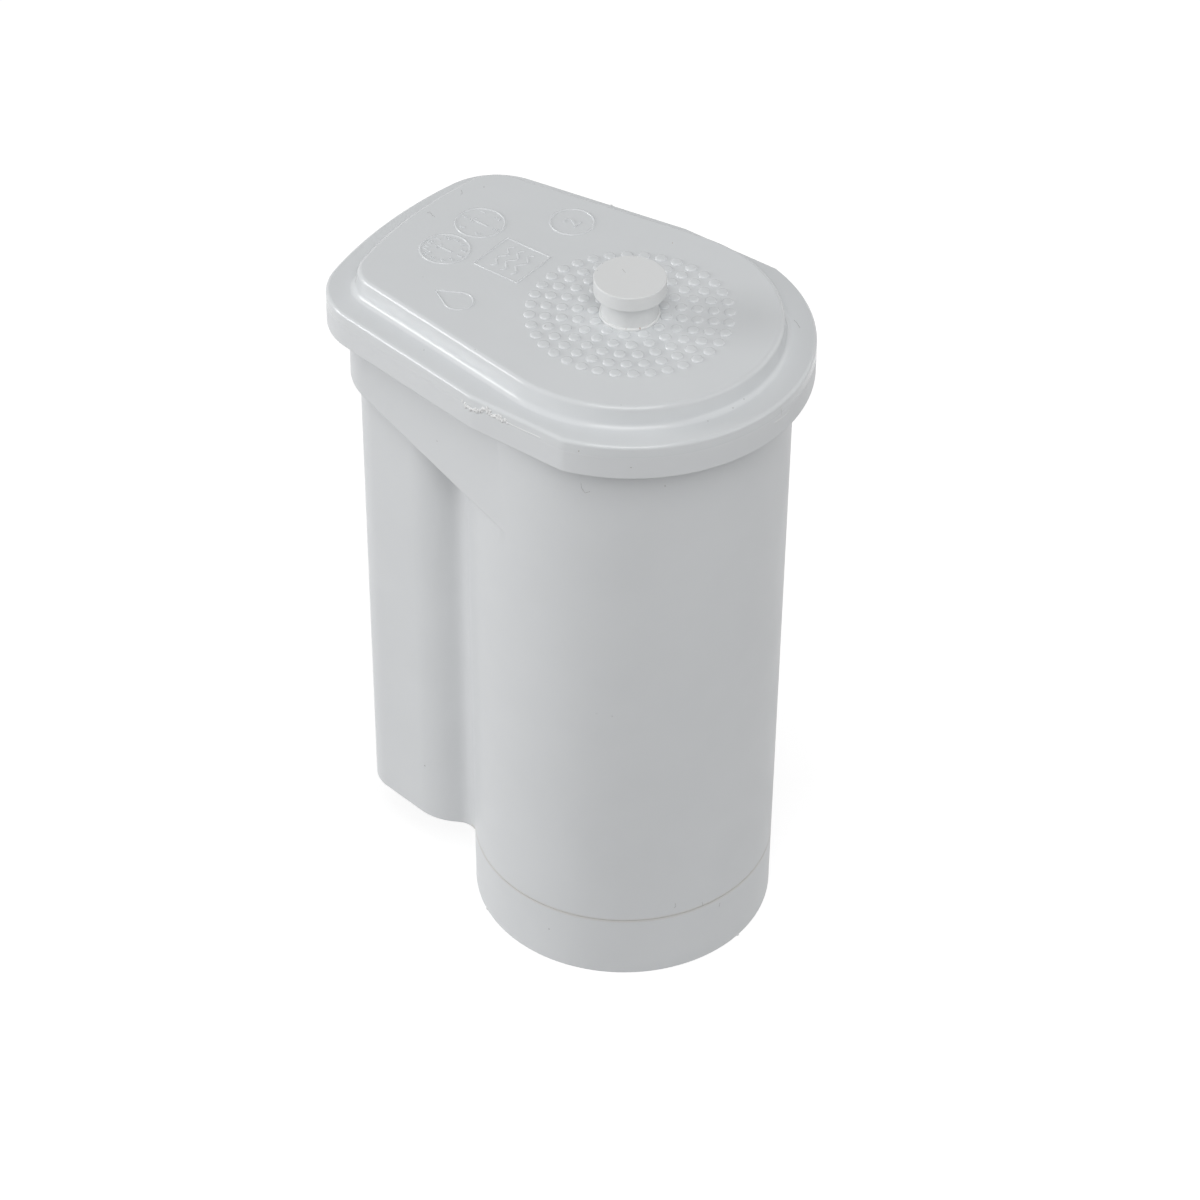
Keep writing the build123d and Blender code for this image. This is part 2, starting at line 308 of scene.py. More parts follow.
def trunk_outline(level, inset=0.0):
    """Outline of cylinder and channel at a height, with its two rounded valleys."""
    draft = (level - CHANNEL_BOTTOM) * tan(BODY_DRAFT)
    circle = body_radius(level) - inset
    side = NECK_INSET + CHANNEL_SIDE_INSET - draft + inset
    end_inset = NECK_INSET + CHANNEL_END_INSET - draft + inset
    side_radius = RIM_RADIUS - side
    shoulder_round = CHANNEL_SHOULDER_ROUND + draft - inset
    valley_round = VALLEY_ROUND + inset
    side_normal = Vector((-sin(SIDE_TAPER), cos(SIDE_TAPER)))
    waist_normal = Vector((sin(CHANNEL_WAIST_ANGLE), cos(CHANNEL_WAIST_ANGLE)))
    waist_along = Vector((cos(CHANNEL_WAIST_ANGLE), -sin(CHANNEL_WAIST_ANGLE)))
    outer_side = side_radius + inset
    shoulder = Vector((
        CHANNEL_SHOULDER_X,
        (outer_side + CHANNEL_SHOULDER_X * sin(SIDE_TAPER)) / cos(SIDE_TAPER),
    ))
    waist = shoulder.dot(waist_normal) - inset
    rows = Matrix((side_normal, waist_normal))
    shoulder_centre = rows.inverted() @ Vector((
        side_radius - shoulder_round,
        waist - shoulder_round,
    ))
    valley_run = sqrt((circle + valley_round) ** 2 - (waist + valley_round) ** 2)
    valley_centre = waist_normal * (waist + valley_round) - waist_along * valley_run
    valley_angle = atan2(valley_centre.y, valley_centre.x)
    waist_angle = pi / 2 - CHANNEL_WAIST_ANGLE
    waist_start = valley_centre - waist_normal * valley_round
    waist_stop = shoulder_centre + waist_normal * shoulder_round
    side_start = shoulder_centre + side_normal * shoulder_round
    corner_start, end = far_end(side_radius, end_inset)
    half = arc((0, 0), circle, 0, valley_angle, 90)
    half += arc(valley_centre, valley_round, valley_angle + pi, waist_angle + pi, 12)
    half += line(waist_start, waist_stop, 3)
    half += arc(shoulder_centre, shoulder_round, waist_angle, pi / 2 + SIDE_TAPER, 10)
    half += line(side_start, corner_start, 4)
    return mirrored(half + end)


def circle_outline(radius, steps=180):
    """Outline of a circle on the axis."""
    return arc((0, 0), radius, 0, 2 * pi, steps)


def lifted(outline, level):
    """Outline as a ring of points at one height."""
    return [(x, y, level) for x, y in outline]


def quarter(radius):
    """Steps of a rounded edge, as (inset, rise), from the side wall to the flat face."""
    angles = [pi / 2 * step / ROUND_STEPS for step in range(ROUND_STEPS + 1)]
    return [(radius * (1 - cos(a)), radius * sin(a)) for a in angles]


def skin(name, rings):
    """Closed mesh object through a stack of rings with as many points each."""
    mesh = bmesh.new()
    rows = [[mesh.verts.new(point) for point in ring] for ring in rings]
    for low, high in zip(rows, rows[1:]):
        for here in range(len(low)):
            before = here - 1
            mesh.faces.new((low[before], low[here], high[here], high[before]))
    mesh.faces.new(list(reversed(rows[0])))
    mesh.faces.new(rows[-1])
    mesh.normal_update()
    data = bpy.data.meshes.new(name)
    mesh.to_mesh(data)
    mesh.free()
    piece = bpy.data.objects.new(name, data)
    bpy.context.scene.collection.objects.link(piece)
    return piece


def disc_tool(radius, low, high, x=0.0, steps=96):
    """Plain cylinder used to cut or add."""
    outline = [(x + px, py) for px, py in circle_outline(radius, steps)]
    return skin("tool", [lifted(outline, low), lifted(outline, high)])


def combine(piece, tool, operation):
    """Applies a boolean between two objects and removes the tool."""
    modifier = piece.modifiers.new("combine", "BOOLEAN")
    modifier.operation = operation
    modifier.solver = "EXACT"
    modifier.object = tool
    shown = piece.evaluated_get(bpy.context.evaluated_depsgraph_get())
    result = bpy.data.meshes.new_from_object(shown)
    piece.modifiers.clear()
    piece.data = result
    bpy.data.objects.remove(tool)


def join(name, pieces):
    """Joins objects into one by their meshes."""
    mesh = bmesh.new()
    for piece in pieces:
        shown = piece.evaluated_get(bpy.context.evaluated_depsgraph_get())
        copy = bpy.data.meshes.new_from_object(shown)
        copy.transform(piece.matrix_world)
        mesh.from_mesh(copy)
    for piece in pieces:
        bpy.data.objects.remove(piece)
    data = bpy.data.meshes.new(name)
    mesh.to_mesh(data)
    mesh.free()
    whole = bpy.data.objects.new(name, data)
    bpy.context.scene.collection.objects.link(whole)
    return whole


def finish_surface(piece, material, crease=28.0):
    """Smooth shading with sharp creases, flat faces kept flat, and one material."""
    piece.data.materials.clear()
    piece.data.materials.append(material)
    for polygon in piece.data.polygons:
        polygon.use_smooth = True
        polygon.material_index = 0
    piece.data.set_sharp_from_angle(angle=radians(crease))
    weighted = piece.modifiers.new("flat faces", "WEIGHTED_NORMAL")
    weighted.keep_sharp = True


def seat(piece, slot, *nodes):
    """Puts a piece on the construction in place of the nodes that it stands for."""
    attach(piece, "root")
    if nodes:
        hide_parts(*nodes)


def build_trunk():
    """Cylinder and return channel from the channel's bottom to the neck."""
    rings = []
    for inset, rise in reversed(quarter(FOOT_EDGE_ROUND)):
        level = CHANNEL_BOTTOM + FOOT_EDGE_ROUND - rise
        rings.append(lifted(trunk_outline(level, inset), level))
    top = NECK_FLOOR + FAR_REACH * tan(NECK_SLOPE)
    steps = 12
    start = CHANNEL_BOTTOM + FOOT_EDGE_ROUND
    for step in range(1, steps + 1):
        level = start + (top - start) * step / steps
        rings.append(lifted(trunk_outline(level), level))
    return skin("housing_shell", rings)


def build_neck():
    """Neck under the rim, with a floor that rises towards the channel's far side."""
    def floor_at(x):
        return NECK_FLOOR + max(-x, 0.0) * tan(NECK_SLOPE)

    rings = []
    for inset, rise in reversed(quarter(NECK_EDGE_ROUND)):
        outline = egg_outline(NECK_INSET + inset)
        lift = NECK_EDGE_ROUND - rise
        rings.append([(x, y, floor_at(x) + lift) for x, y in outline])
    rings.append(lifted(egg_outline(NECK_INSET), RIM_BOTTOM + SKIRT_EDGE_ROUND))
    return skin("tool", rings)


def build_barrel():
    """Upper stretch of the drafted cylinder inside the neck, up to the rim."""
    low = NECK_FLOOR - WALL
    rings = [
        lifted(circle_outline(body_radius(low), 240), low),
        lifted(circle_outline(body_radius(RIM_BOTTOM), 240), RIM_BOTTOM + SKIRT_EDGE_ROUND),
    ]
    return skin("tool", rings)


def build_rim():
    """Rim flange of the housing, rounded along its lower edge."""
    rings = []
    for inset, rise in reversed(quarter(SKIRT_EDGE_ROUND)):
        level = RIM_BOTTOM + SKIRT_EDGE_ROUND - rise
        rings.append(lifted(egg_outline(inset, flat=True), level))
    rings.append(lifted(egg_outline(0.0, flat=True), WELD_LEVEL))
    return skin("tool", rings)


def build_bore():
    """Free space inside the cylinder."""
    low = CHANNEL_BOTTOM - WALL
    high = WELD_LEVEL + WALL
    rings = [
        lifted(circle_outline(body_radius(low) - WALL), low),
        lifted(circle_outline(body_radius(high) - WALL), high),
    ]
    return skin("tool", rings)


def build_foot_room():
    """Room for the cap under the cylinder, beside the channel's foot, with the seam's bevel."""
    low = CHANNEL_BOTTOM - WALL
    radius = body_radius(SEAM_LEVEL)
    profile = [
        (radius + CAP_CLEARANCE, low),
        (radius + CAP_CLEARANCE, SEAM_LEVEL),
        (radius, SEAM_LEVEL + SEAM_GROOVE),
        (radius - SEAM_GROOVE, SEAM_LEVEL + SEAM_GAP),
    ]
    return turned("tool", profile, 240)


def build_housing(material):
    """Moulded shell with its channel, neck, rim, bore and outlet socket."""
    shell = build_trunk()
    combine(shell, build_neck(), "UNION")
    combine(shell, build_barrel(), "UNION")
    combine(shell, build_rim(), "UNION")
    combine(shell, build_bore(), "DIFFERENCE")
    combine(shell, build_foot_room(), "DIFFERENCE")
    below = CHANNEL_BOTTOM - WALL
    socket_top = CHANNEL_BOTTOM + SOCKET_DEPTH
    combine(shell, disc_tool(SOCKET_RADIUS, below, socket_top, OUTLET_X), "DIFFERENCE")
    combine(shell, disc_tool(PASSAGE_RADIUS, below, WEIR_LEVEL, OUTLET_X), "DIFFERENCE")
    finish_surface(shell, material)
    seat(shell, "housing_plastic", "housing")
    return shell


def build_lid(material):
    """Lid with its rim, raised deck, grip domes and the bore for the knob."""
    rings = [lifted(egg_outline(0.0, flat=True), WELD_LEVEL)]
    for inset, rise in quarter(RIM_EDGE_ROUND):
        level = RIM_TOP - RIM_EDGE_ROUND + rise
        rings.append(lifted(egg_outline(inset, flat=True), level))
    foot_level = RIM_TOP + DECK_FOOT_ROUND
    for inset, rise in reversed(quarter(DECK_FOOT_ROUND)):
        ring = egg_outline(deck_side_inset(foot_level) - inset)
        rings.append(lifted(ring, foot_level - rise))
    edge_level = DECK_TOP - DECK_EDGE_ROUND
    for inset, rise in quarter(DECK_EDGE_ROUND):
        ring = egg_outline(deck_side_inset(edge_level) + inset)
        rings.append(lifted(ring, edge_level + rise))
    lid = skin("lid_shell", rings)
    combine(lid, join("tool", [build_dome(*place) for place in dome_places()]), "UNION")
    combine(lid, disc_tool(KNOB_BORE_RADIUS, WELD_LEVEL - WALL, KNOB_TOP), "DIFFERENCE")
    finish_surface(lid, material)
    seat(lid, "lid_plastic", "lid")
    return lid


def deck_side_inset(level):
    """Inset of the deck's leaning side at a height."""
    return DECK_INSET - DECK_FLARE * (DECK_TOP - level) / DECK_RISE


def dome_places():
    """Centres of the grip domes, on rings round the knob."""
    pitch = (OUTER_DOME_RING - INNER_DOME_RING) / (DOME_RINGS - 1)
    places = []
    for ring in range(DOME_RINGS):
        radius = INNER_DOME_RING + ring * pitch
        count = DOMES_PER_RING_STEP * (ring + 2)
        for step in range(count):
            turn = DOME_START + 2 * pi * step / count
            places.append((radius * cos(turn), radius * sin(turn)))
    return places


def build_dome(x, y):
    """One shallow grip dome with a flat crown and a rounded edge."""
    steps = 6
    profile = [(DOME_RADIUS, -DOME_SUNK)]
    for step in range(steps + 1):
        angle = pi / 2 * step / steps
        radius = DOME_CROWN_RADIUS + (DOME_RADIUS - DOME_CROWN_RADIUS) * cos(angle)
        profile.append((radius, DOME_HEIGHT * sin(angle)))
    rows = []
    for radius, rise in profile:
        outline = circle_outline(radius, 24)
        rows.append([(x + px, y + py, DECK_TOP + rise) for px, py in outline])
    return skin("tool", rows)


def turned(name, profile, steps=128):
    """Solid of revolution from (radius, level) pairs, from the bottom up."""
    return skin(name, [lifted(circle_outline(radius, steps), level) for radius, level in profile])


def build_knob(material):
    """Mushroom knob with a collar on the deck and a shank down through the lid."""
    head_low = KNOB_TOP - KNOB_HEAD_HEIGHT
    profile = [
        (KNOB_SHANK_RADIUS, KNOB_LOW.z),
        (KNOB_SHANK_RADIUS, DECK_TOP),
        (KNOB_COLLAR_RADIUS, DECK_TOP),
        (KNOB_COLLAR_RADIUS, DECK_TOP + KNOB_COLLAR_HEIGHT - KNOB_EDGE_ROUND),
    ]
    for inset, rise in quarter(KNOB_EDGE_ROUND)[1:]:
        level = DECK_TOP + KNOB_COLLAR_HEIGHT - KNOB_EDGE_ROUND + rise
        profile.append((KNOB_COLLAR_RADIUS - inset, level))
    profile.append((KNOB_STEM_RADIUS, DECK_TOP + KNOB_COLLAR_HEIGHT))
    profile.append((KNOB_STEM_RADIUS, head_low))
    for inset, rise in reversed(quarter(KNOB_EDGE_ROUND)):
        profile.append((KNOB_RADIUS - inset, head_low + KNOB_EDGE_ROUND - rise))
    for inset, rise in quarter(KNOB_EDGE_ROUND):
        profile.append((KNOB_RADIUS - inset, KNOB_TOP - KNOB_EDGE_ROUND + rise))
    knob = turned("knob_body", profile)
    finish_surface(knob, material)
    seat(knob, "knob_plastic", "pull_knob")
    return knob


def build_cap(material):
    """Inlet cap with its foot ring, recessed slotted floor and weld seam."""
    profile = []
    for inset, rise in reversed(quarter(FOOT_EDGE_ROUND)):
        profile.append((body_radius(0.0) - inset, FOOT_EDGE_ROUND - rise))
    profile.append((body_radius(SEAM_LEVEL), SEAM_LEVEL))
    cap = turned("cap_shell", profile, 240)
    combine(cap, disc_tool(BOTTOM_RADIUS - FOOT_RING_WIDTH, -WALL, CAP_RECESS, steps=180), "DIFFERENCE")
    inner = body_radius(CAP_FLOOR_TOP) - WALL
    combine(cap, disc_tool(inner, CAP_FLOOR_TOP, SEAM_LEVEL + WALL, steps=180), "DIFFERENCE")
    combine(cap, build_slots(), "DIFFERENCE")
    finish_surface(cap, material)
    seat(cap, "housing_plastic", "inlet_cap")
    return cap


def build_slots():
    """All radial slots of the cap's floor as one cutting tool."""
    slots = []
    for count, start, stop in SLOT_RINGS:
        for step in range(count):
            turn = Matrix.Rotation(2 * pi * step / count, 4, "Z")
            half = SLOT_WIDTH / 2
            corners = [(start, -half), (stop, -half), (stop, half), (start, half)]
            low = [tuple(turn @ Vector((x, y, CAP_RECESS - WALL))) for x, y in corners]
            high = [tuple(turn @ Vector((x, y, CAP_FLOOR_TOP + WALL))) for x, y in corners]
            slots.append(skin("tool", [low, high]))
    return join("tool", slots)


def tube(name, runs, radius, level=None, closed=False):
    """Fine round lines through runs of points, as one curve object."""
    data = bpy.data.curves.new(name, "CURVE")
    data.dimensions = "3D"
    data.bevel_depth = radius
    data.bevel_resolution = 2
    data.use_fill_caps = True
    for run in runs:
        spline = data.splines.new("POLY")
        spline.points.add(len(run) - 1)
        spline.use_cyclic_u = closed
        for point, place in zip(spline.points, run):
            height = place[2] if level is None else level
            point.co = (place[0], place[1], height, 1.0)
    piece = bpy.data.objects.new(name, data)
    bpy.context.scene.collection.objects.link(piece)
    return piece


def ring_run(centre, radius, steps=64):
    """Points round a circle on the deck."""
    return [(centre[0] + x, centre[1] + y) for x, y in circle_outline(radius, steps)]


def wave_run(centre, half, swing, waves=2, steps=40):
    """Points along a wavy line across the deck's width."""
    run = []
    for step in range(steps + 1):
        share = step / steps
        x = centre[0] + swing * sin(2 * pi * waves * share)
        run.append((x, centre[1] - half + 2 * half * share))
    return run


def drop_run(centre, radius, tip):
    """Points round a water drop whose tip lies towards -X."""
    lean = acos(radius / tip)
    round_side = arc(centre, radius, pi + lean, 3 * pi - lean, 48)
    return [(centre[0] - tip, centre[1])] + [
        (centre[0] - (x - centre[0]) * -1.0, y) for x, y in round_side
    ]


def number_mark(word, x, y, size):
    """One plain number raised on the deck, with its top towards -X."""
    data = bpy.data.curves.new("number", "FONT")
    data.body = word
    data.size = size
    data.align_x = "CENTER"
    data.align_y = "CENTER"
    data.extrude = 2 * LINE_SINK
    data.bevel_depth = LINE_SINK / 2
    piece = bpy.data.objects.new("number", data)
    piece.location = (x, y, DECK_TOP)
    piece.rotation_euler = (0.0, 0.0, pi / 2)
    bpy.context.scene.collection.objects.link(piece)
    return piece


def dial_marks(centre, count):
    """Dial with plain numbers round its rim and a short pointer."""
    marks = []
    for number in range(1, count + 1):
        turn = pi - 2 * pi * number / count
        x = centre[0] + 0.76 * DIAL_RADIUS * cos(turn)
        y = centre[1] + 0.76 * DIAL_RADIUS * sin(turn)
        marks.append(number_mark(str(number), x, y, NUMBER_SIZE))
    tail = (centre[0] + 0.35 * DIAL_RADIUS, centre[1])
    head = (centre[0] - 0.45 * DIAL_RADIUS, centre[1])
    barb = 0.15 * DIAL_RADIUS
    left = (head[0] + barb, head[1] - barb)
    right = (head[0] + barb, head[1] + barb)
    marks.append(tube("marks", [[tail, head], [left, head, right]], LINE_RADIUS, DECK_TOP - LINE_SINK))
    return marks


def build_marks(material):
    """Raised generic marks of the mould: two number dials, a water frame, a ring and a drop."""
    level = DECK_TOP - LINE_SINK
    x, y = FRAME_CENTRE
    half = FRAME_HALF
    square = [(x - half, y - half), (x + half, y - half), (x + half, y + half), (x - half, y + half)]
    loops = [square, drop_run(DROP_CENTRE, DROP_RADIUS, DROP_TIP)]
    loops += [ring_run(centre, DIAL_RADIUS) for centre in DIAL_CENTRES]
    loops.append(ring_run(RING_CENTRE, RING_RADIUS))
    waves = [
        wave_run((x + offset * half, y), 0.7 * half, 0.12 * half)
        for offset in (-0.45, 0.0, 0.45)
    ]
    marks = [
        tube("marks", loops, LINE_RADIUS, level, closed=True),
        tube("marks", waves, LINE_RADIUS, level),
        number_mark("2", RING_CENTRE[0], RING_CENTRE[1], 3 * NUMBER_SIZE),
    ]
    for centre, count in zip(DIAL_CENTRES, DIAL_NUMBERS):
        marks += dial_marks(centre, count)
    relief = join("lid_marks", marks)
    finish_surface(relief, material, 50.0)
    seat(relief, "lid_plastic")


def picture_ray(point):
    """Direction from the camera through a picture point of the photograph."""
    turn = bpy.context.scene.camera.matrix_world.to_3x3()
    scale = CAMERA_SENSOR / CAMERA_LENS / PHOTO_SIDE
    across = (point[0] - PHOTO_SIDE / 2) * scale
    upward = (PHOTO_SIDE / 2 - point[1]) * scale
    return (turn @ Vector((across, upward, -1.0))).normalized()


def surface_tree(pieces):
    """Search tree of the finished surfaces."""
    whole = bmesh.new()
    for piece in pieces:
        whole.from_mesh(piece.data)
    bmesh.ops.triangulate(whole, faces=whole.faces)
    tree = BVHTree.FromBMesh(whole)
    whole.free()
    return tree


def on_surface(tree, point):
    """Place on the surface that a picture point shows, and the surface's direction there."""
    place, normal, _, _ = tree.ray_cast(CAMERA_PLACE, picture_ray(point))
    if place is None:
        return on_outline(tree, point)
    return place, normal


def on_outline(tree, point):
    """Place on the surface that a picture ray passes closest to, for marks on the outline."""
    direction = picture_ray(point)
    middle = ((cad_low + cad_high) / 2 - CAMERA_PLACE).dot(direction)
    half = (cad_high - cad_low).length / 2
    passes = []
    for step in range(OUTLINE_STEPS + 1):
        distance = middle + half * (2 * step / OUTLINE_STEPS - 1)
        place, normal, _, gap = tree.find_nearest(CAMERA_PLACE + direction * distance)
        passes.append((gap, place, normal))
    _, place, normal = min(passes, key=lambda found: found[0])
    return place, normal


def blob(place, radius, squash, normal, stretch, rng):
    """Small uneven lump that lies on a surface."""
    mesh = bmesh.new()
    bmesh.ops.create_icosphere(mesh, subdivisions=2, radius=radius)
    for vertex in mesh.verts:
        vertex.co *= 1.0 + rng.uniform(-0.12, 0.12)
        vertex.co.x *= stretch
        vertex.co.z *= squash
    spin = Matrix.Rotation(rng.uniform(0, pi), 4, "Z")
    turn = normal.to_track_quat("Z", "Y").to_matrix().to_4x4()
    mesh.transform(Matrix.Translation(place) @ turn @ spin)
    data = bpy.data.meshes.new("blob")
    mesh.to_mesh(data)
    mesh.free()
    piece = bpy.data.objects.new("blob", data)
    bpy.context.scene.collection.objects.link(piece)
    return piece


def along_run(run, share):
    """Picture point part of the way along a run."""
    position = share * (len(run) - 1)
    index = min(int(position), len(run) - 2)
    part = position - index
    start, stop = run[index], run[index + 1]
    return (start[0] + (stop[0] - start[0]) * part, start[1] + (stop[1] - start[1]) * part)


def build_flash(tree, material):
    """Crumbs and fine ridges of plastic squeezed out of the lid's weld."""
    rng = random.Random(4)
    lumps = []
    for step in range(CRUMB_COUNT):
        share = (step + rng.uniform(-0.4, 0.4)) / CRUMB_COUNT
        x, y = along_run(CRUMB_RUN, min(max(share, 0.0), 1.0))
        point = (x + rng.uniform(-1.0, 1.0), y + rng.uniform(-1.6, 1.6))
        place, normal = on_surface(tree, point)
        radius = CRUMB_RADIUS * rng.uniform(0.5, 1.8)
        lumps.append(blob(place, radius, 0.8, normal, 1.6, rng))
    for point in EDGE_BURRS:
        place, normal = on_surface(tree, point)
        lumps.append(blob(place, BURR_RADIUS, 0.6, normal, 1.5, rng))
    for run in FINE_RUNS:
        lumps.append(surface_line(tree, run, FINE_RADIUS))
    flash = join("weld_flash", lumps)
    finish_surface(flash, material, 60.0)
    seat(flash, "lid_plastic")


def surface_line(tree, run, radius):
    """Fine line that follows the surface through a run of picture points."""
    steps = 6 * (len(run) - 1)
    places = [on_surface(tree, along_run(run, step / steps))[0] for step in range(steps + 1)]
    return tube("line", [places], radius)


def build_dust(tree):
    """Specks and hairs of dust that lie on the surfaces."""
    rng = random.Random(9)
    grey = [blob_at(tree, point, rng) for point in GREY_SPECKS]
    grey += [surface_line(tree, run, HAIR_RADIUS) for run in HAIRS]
    brown = [blob_at(tree, point, rng) for point in BROWN_SPECKS]
    for name, parts, colour in (
        ("grey_dust", grey, (0.30, 0.30, 0.30)),
        ("brown_dust", brown, (0.28, 0.17, 0.11)),
    ):
        piece = join(name, parts)
        finish_surface(piece, dust(name, colour), 60.0)
        seat(piece, "housing_plastic")


def blob_at(tree, point, rng):
    """One speck at a picture point."""
    place, normal = on_surface(tree, point)
    return blob(place, SPECK_RADIUS * rng.uniform(0.7, 1.3), 0.5, normal, rng.uniform(1.0, 2.0), rng)


def dust(name, colour):
    """Matt dust with mottled tone."""
    material, nodes, links, shader = shader_nodes(name)
    where = nodes.new("ShaderNodeTexCoord").outputs["Object"]
    mottle = noise(nodes, links, where, 3000.0, 3.0)
    mix = nodes.new("ShaderNodeMix")
    mix.data_type = "RGBA"
    mix.inputs["A"].default_value = (*colour, 1.0)
    mix.inputs["B"].default_value = (*[min(1.0, 1.6 * share) for share in colour], 1.0)
    links.new(ramp(nodes, links, mottle, 0.0, 1.0), mix.inputs["Factor"])
    links.new(mix.outputs["Result"], shader.inputs["Base Color"])
    shader.inputs["Roughness"].default_value = 0.9
    return material


def shader_nodes(name):
    """New material with its nodes, links and main shader."""
    material = bpy.data.materials.new(name)
    material.use_nodes = True
    nodes = material.node_tree.nodes
    links = material.node_tree.links
    return material, nodes, links, nodes["Principled BSDF"]


def noise(nodes, links, where, scale, detail):
    """Noise texture on a set of coordinates."""
    texture = nodes.new("ShaderNodeTexNoise")
    texture.inputs["Scale"].default_value = scale
    texture.inputs["Detail"].default_value = detail
    links.new(where, texture.inputs["Vector"])
    return texture.outputs["Fac"]


def ramp(nodes, links, source, low, high, start=0.35, stop=0.65):
    """Maps a noise value to a range."""
    mapped = nodes.new("ShaderNodeMapRange")
    mapped.inputs["From Min"].default_value = start
    mapped.inputs["From Max"].default_value = stop
    mapped.inputs["To Min"].default_value = low
    mapped.inputs["To Max"].default_value = high
    links.new(source, mapped.inputs["Value"])
    return mapped.outputs["Result"]


def weld_tint(nodes, links, where, colour):
    """Faint darker band along the seam between cylinder and cap: painted shade of the seam's groove,
    with a slightly brown weld tone.
    """
    parts = nodes.new("ShaderNodeSeparateXYZ")
    links.new(where, parts.inputs[0])
    height = nodes.new("ShaderNodeMath")
    height.operation = "SUBTRACT"
    height.inputs[1].default_value = SEAM_LEVEL
    links.new(parts.outputs["Z"], height.inputs[0])
    off_seam = nodes.new("ShaderNodeMath")
    off_seam.operation = "ABSOLUTE"
    links.new(height.outputs[0], off_seam.inputs[0])
    near_seam = nodes.new("ShaderNodeMapRange")
    near_seam.interpolation_type = "SMOOTHSTEP"
    near_seam.inputs["From Max"].default_value = SEAM_SHADE_AND_TONE_REACH
    near_seam.inputs["To Min"].default_value = 1.0
    near_seam.inputs["To Max"].default_value = 0.0
    links.new(off_seam.outputs[0], near_seam.inputs["Value"])
    flat = nodes.new("ShaderNodeVectorMath")
    flat.operation = "MULTIPLY"
    flat.inputs[1].default_value = (1.0, 1.0, 0.0)
    links.new(where, flat.inputs[0])
    radius = nodes.new("ShaderNodeVectorMath")
    radius.operation = "LENGTH"
    links.new(flat.outputs[0], radius.inputs[0])
    on_cylinder = nodes.new("ShaderNodeMath")
    on_cylinder.operation = "LESS_THAN"
    on_cylinder.inputs[1].default_value = body_radius(SEAM_LEVEL) + SEAM_SHADE_AND_TONE_REACH
    links.new(radius.outputs["Value"], on_cylinder.inputs[0])
    share = nodes.new("ShaderNodeMath")
    share.operation = "MULTIPLY"
    links.new(near_seam.outputs["Result"], share.inputs[0])
    links.new(on_cylinder.outputs[0], share.inputs[1])
    seam_shade_and_tone_mix = nodes.new("ShaderNodeMix")
    seam_shade_and_tone_mix.data_type = "RGBA"
    seam_shade_and_tone_mix.inputs["B"].default_value = (*SEAM_SHADE_AND_WELD_TONE, 1.0)
    links.new(share.outputs[0], seam_shade_and_tone_mix.inputs["Factor"])
    links.new(colour, seam_shade_and_tone_mix.inputs["A"])
    return seam_shade_and_tone_mix.outputs["Result"]


def moulded_plastic(name, pale, shaded, rough, grain, flow, seam_shade_and_tone=False):
    """Injection-moulded plastic: faint clouds of tone, flow ripples and a fine grain."""
    material, nodes, links, shader = shader_nodes(name)
    where = nodes.new("ShaderNodeTexCoord").outputs["Object"]
    clouds = noise(nodes, links, where, 60.0, 3.0)
    colour = nodes.new("ShaderNodeMix")
    colour.data_type = "RGBA"
    colour.inputs["A"].default_value = (*shaded, 1.0)
    colour.inputs["B"].default_value = (*pale, 1.0)
    links.new(ramp(nodes, links, clouds, 0.0, 1.0), colour.inputs["Factor"])
    tone = colour.outputs["Result"]
    # Painted shade along the seam's groove, with a slightly brown weld tone
    if seam_shade_and_tone:
        tone = weld_tint(nodes, links, where, tone)
    links.new(tone, shader.inputs["Base Color"])
    patches = noise(nodes, links, where, 140.0, 4.0)
    links.new(ramp(nodes, links, patches, rough - 0.03, rough + 0.03), shader.inputs["Roughness"])
    ripples = nodes.new("ShaderNodeBump")
    ripples.inputs["Strength"].default_value = 0.15
    ripples.inputs["Distance"].default_value = flow
    links.new(noise(nodes, links, where, 90.0, 2.0), ripples.inputs["Height"])
    fine = nodes.new("ShaderNodeBump")
    fine.inputs["Strength"].default_value = 0.2
    fine.inputs["Distance"].default_value = grain
    links.new(noise(nodes, links, where, 6000.0, 2.0), fine.inputs["Height"])
    links.new(ripples.outputs["Normal"], fine.inputs["Normal"])
    links.new(fine.outputs["Normal"], shader.inputs["Normal"])
    shader.inputs["IOR"].default_value = 1.49
    return material


def felt():
    """White felt with crossed fibres."""
    material, nodes, links, shader = shader_nodes("felt")
    where = nodes.new("ShaderNodeTexCoord").outputs["Object"]
    fibres = noise(nodes, links, where, 2500.0, 6.0)
    colour = nodes.new("ShaderNodeMix")
    colour.data_type = "RGBA"
    colour.inputs["A"].default_value = (0.55, 0.55, 0.53, 1.0)
    colour.inputs["B"].default_value = (0.80, 0.80, 0.78, 1.0)
    links.new(ramp(nodes, links, fibres, 0.0, 1.0), colour.inputs["Factor"])
    links.new(colour.outputs["Result"], shader.inputs["Base Color"])
    shader.inputs["Roughness"].default_value = 0.95
    bump = nodes.new("ShaderNodeBump")
    bump.inputs["Distance"].default_value = 0.0002
    links.new(fibres, bump.inputs["Height"])
    links.new(bump.outputs["Normal"], shader.inputs["Normal"])
    return material


